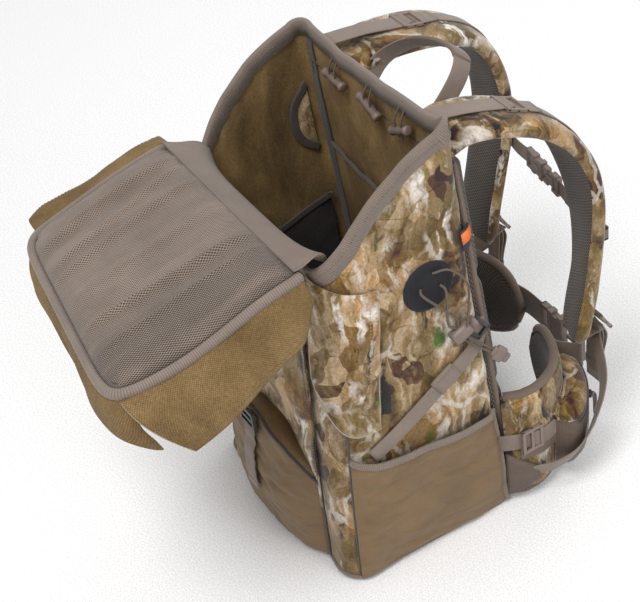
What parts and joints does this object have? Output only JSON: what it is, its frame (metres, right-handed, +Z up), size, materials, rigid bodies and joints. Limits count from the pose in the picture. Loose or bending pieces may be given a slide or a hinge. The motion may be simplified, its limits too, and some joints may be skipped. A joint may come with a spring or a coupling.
{
  "type": "hunting backpack",
  "caption": "Soft camouflage hunting backpack with an open top lid, padded harness, hip belt with pockets, cord port, toggles and moving buckles.",
  "frame": {"origin": "centre of the footprint on the ground plane, under the upright pack", "axes": "+Z up, +Y to the harness side worn against the back, +X to the wearer's right"},
  "size_m": [0.4109, 0.6345, 0.5519],
  "materials": {
    "camo_fleece": "brushed woodland-print fleece",
    "tan_nylon": "plain woven nylon",
    "tan_fleece": "brushed fleece lining",
    "brown_lining": "brushed fleece lining",
    "webbing": "ribbed polyester webbing",
    "air_mesh": "spacer air mesh",
    "pocket_mesh": "fine mesh over padding",
    "buckle_plastic": "moulded acetal",
    "black_rubber": "moulded rubber",
    "black_plastic": "moulded plastic",
    "frame_plastic": "extruded polyethylene sheet"
  },
  "bodies": {
    "pack_body": {"base_panel": "tan_nylon", "front_panel": "camo_fleece", "back_panel": "brown_lining", "side_panel_right": "camo_fleece", "side_panel_left": "camo_fleece", "frame_sheet": "frame_plastic", "back_padding": "air_mesh", "lumbar_pad": "air_mesh", "front_pocket": "tan_nylon", "front_strap": "webbing", "front_buckle": "black_plastic", "side_pocket_right": "tan_nylon", "side_pocket_left": "tan_nylon", "wing_flap_right": "camo_fleece", "wing_flap_left": "camo_fleece", "compression_strap_right": "webbing", "compression_strap_left": "webbing", "cord_port": "black_rubber", "shock_cord": "black_plastic", "inner_back_pocket": "brown_lining", "shoulder_strap_right": "camo_fleece", "shoulder_strap_left": "camo_fleece", "load_lifter_right": "webbing", "load_lifter_left": "webbing", "lifter_buckle_right": "buckle_plastic", "lifter_buckle_left": "buckle_plastic", "strap_buckle_right": "buckle_plastic", "strap_buckle_left": "buckle_plastic"},
    "lid": {"lid_panel": "tan_fleece", "lid_mesh_pocket": "pocket_mesh"},
    "lid_skirt_right": {"lid_skirt_right": "tan_fleece"},
    "lid_skirt_left": {"lid_skirt_left": "tan_fleece"},
    "lid_skirt_front": {"lid_skirt_front": "tan_fleece"},
    "haul_loop": {"haul_loop": "webbing"},
    "front_zip": {"front_zip_slider": "black_plastic"},
    "sternum_slider_right": {"sternum_slider_right": "buckle_plastic", "sternum_webbing_right": "webbing"},
    "sternum_slider_left": {"sternum_slider_left": "buckle_plastic", "sternum_webbing_left": "webbing", "sternum_buckle_female": "buckle_plastic"},
    "hip_right": {"hip_wing_right": "camo_fleece", "hip_pocket_right": "camo_fleece", "stabiliser_buckle_right": "buckle_plastic", "hip_webbing_right": "webbing", "strap_webbing_right": "webbing"},
    "hip_left": {"hip_wing_left": "camo_fleece", "hip_pocket_left": "camo_fleece", "stabiliser_buckle_left": "buckle_plastic", "hip_webbing_left": "webbing", "hip_buckle_female": "buckle_plastic", "strap_webbing_left": "webbing"},
    "hip_zip_right": {"hip_zip_slider_right": "black_plastic"},
    "hip_zip_left": {"hip_zip_slider_left": "black_plastic"},
    "cord_lock": {"cord_lock_body": "buckle_plastic"},
    "cord_lock_button": {"cord_lock_button": "buckle_plastic"},
    "toggle_1": {"toggle_1": "buckle_plastic"},
    "toggle_2": {"toggle_2": "buckle_plastic"},
    "toggle_3": {"toggle_3": "buckle_plastic"},
    "sternum_male": {"sternum_buckle_male": "buckle_plastic"},
    "hip_male": {"hip_buckle_male": "buckle_plastic"}
  },
  "joints": [
    {"name": "lid_fold", "type": "hinge", "parent": "pack_body", "child": "lid", "pos_m": [0, -0.1, 0.425], "axis": [-1, 0, 0], "range_deg": [0, 143]},
    {"name": "skirt_right_fold", "type": "hinge", "parent": "lid", "child": "lid_skirt_right", "pos_m": [0.1455, -0.09986, 0.42401], "axis": [0, -0.9903, -0.1392], "range_deg": [0, 123]},
    {"name": "skirt_left_fold", "type": "hinge", "parent": "lid", "child": "lid_skirt_left", "pos_m": [-0.1455, -0.09986, 0.42401], "axis": [0, 0.9903, 0.1392], "range_deg": [0, 123]},
    {"name": "skirt_front_fold", "type": "hinge", "parent": "lid", "child": "lid_skirt_front", "pos_m": [0, -0.3202, 0.39304], "axis": [-1, 0, 0], "range_deg": [0, 85]},
    {"name": "haul_loop_swing", "type": "hinge", "parent": "pack_body", "child": "haul_loop", "pos_m": [0, 0.098, 0.48], "axis": [1, 0, 0], "range_deg": [0, 48]},
    {"name": "front_zip_travel", "type": "slide", "parent": "pack_body", "child": "front_zip", "axis": [1, 0, 0], "range_m": [0, 0.15]},
    {"name": "sternum_height", "type": "slide", "parent": "pack_body", "child": "sternum_slider_right", "axis": [0.0024, -0.0236, -0.9997], "range_m": [-0.015, 0.015]},
    {"name": "sternum_height_left", "type": "slide", "parent": "pack_body", "child": "sternum_slider_left", "axis": [-0.0008, -0.1801, -0.9837], "range_m": [-0.015, 0.015]},
    {"name": "sternum_buckle_travel", "type": "slide", "parent": "sternum_slider_right", "child": "sternum_male", "axis": [0.9912, -0.1261, -0.0402], "range_m": [0, 0.02]},
    {"name": "hip_wing_right_swing", "type": "hinge", "parent": "pack_body", "child": "hip_right", "pos_m": [0.146, 0.121, 0], "axis": [0, 0, -1], "range_deg": [0, 35]},
    {"name": "hip_wing_left_swing", "type": "hinge", "parent": "pack_body", "child": "hip_left", "pos_m": [-0.146, 0.121, 0], "axis": [0, 0, 1], "range_deg": [0, 35]},
    {"name": "hip_buckle_travel", "type": "slide", "parent": "hip_right", "child": "hip_male", "axis": [1, 0, 0], "range_m": [0, 0.02]},
    {"name": "hip_zip_right_travel", "type": "slide", "parent": "hip_right", "child": "hip_zip_right", "axis": [-0.8086, 0.5884, 0], "range_m": [-0.005, 0.008]},
    {"name": "hip_zip_left_travel", "type": "slide", "parent": "hip_left", "child": "hip_zip_left", "axis": [0.5853, 0.8108, 0], "range_m": [-0.005, 0.008]},
    {"name": "cord_lock_travel", "type": "slide", "parent": "pack_body", "child": "cord_lock", "axis": [0, 0.4191, -0.908], "range_m": [-0.02, 0.02]},
    {"name": "cord_lock_press", "type": "slide", "parent": "cord_lock", "child": "cord_lock_button", "axis": [0, -0.908, -0.4191], "range_m": [0, 0.0035], "stiffness_N_per_m": 250},
    {"name": "toggle_1_swing", "type": "hinge", "parent": "pack_body", "child": "toggle_1", "pos_m": [-0.066, 0.064, 0.515], "axis": [-1, 0, 0], "range_deg": [0, 40]},
    {"name": "toggle_2_swing", "type": "hinge", "parent": "pack_body", "child": "toggle_2", "pos_m": [0.003, 0.064, 0.515], "axis": [-1, 0, 0], "range_deg": [0, 40]},
    {"name": "toggle_3_swing", "type": "hinge", "parent": "pack_body", "child": "toggle_3", "pos_m": [0.062, 0.064, 0.515], "axis": [-1, 0, 0], "range_deg": [0, 40]}
  ],
  "couplings": [
    {"joint": "skirt_right_fold", "follows": "lid_fold", "ratio": 0.86014},
    {"joint": "skirt_left_fold", "follows": "lid_fold", "ratio": 0.86014},
    {"joint": "skirt_front_fold", "follows": "lid_fold", "ratio": 0.5944},
    {"joint": "sternum_height_left", "follows": "sternum_height", "ratio": 1}
  ]
}
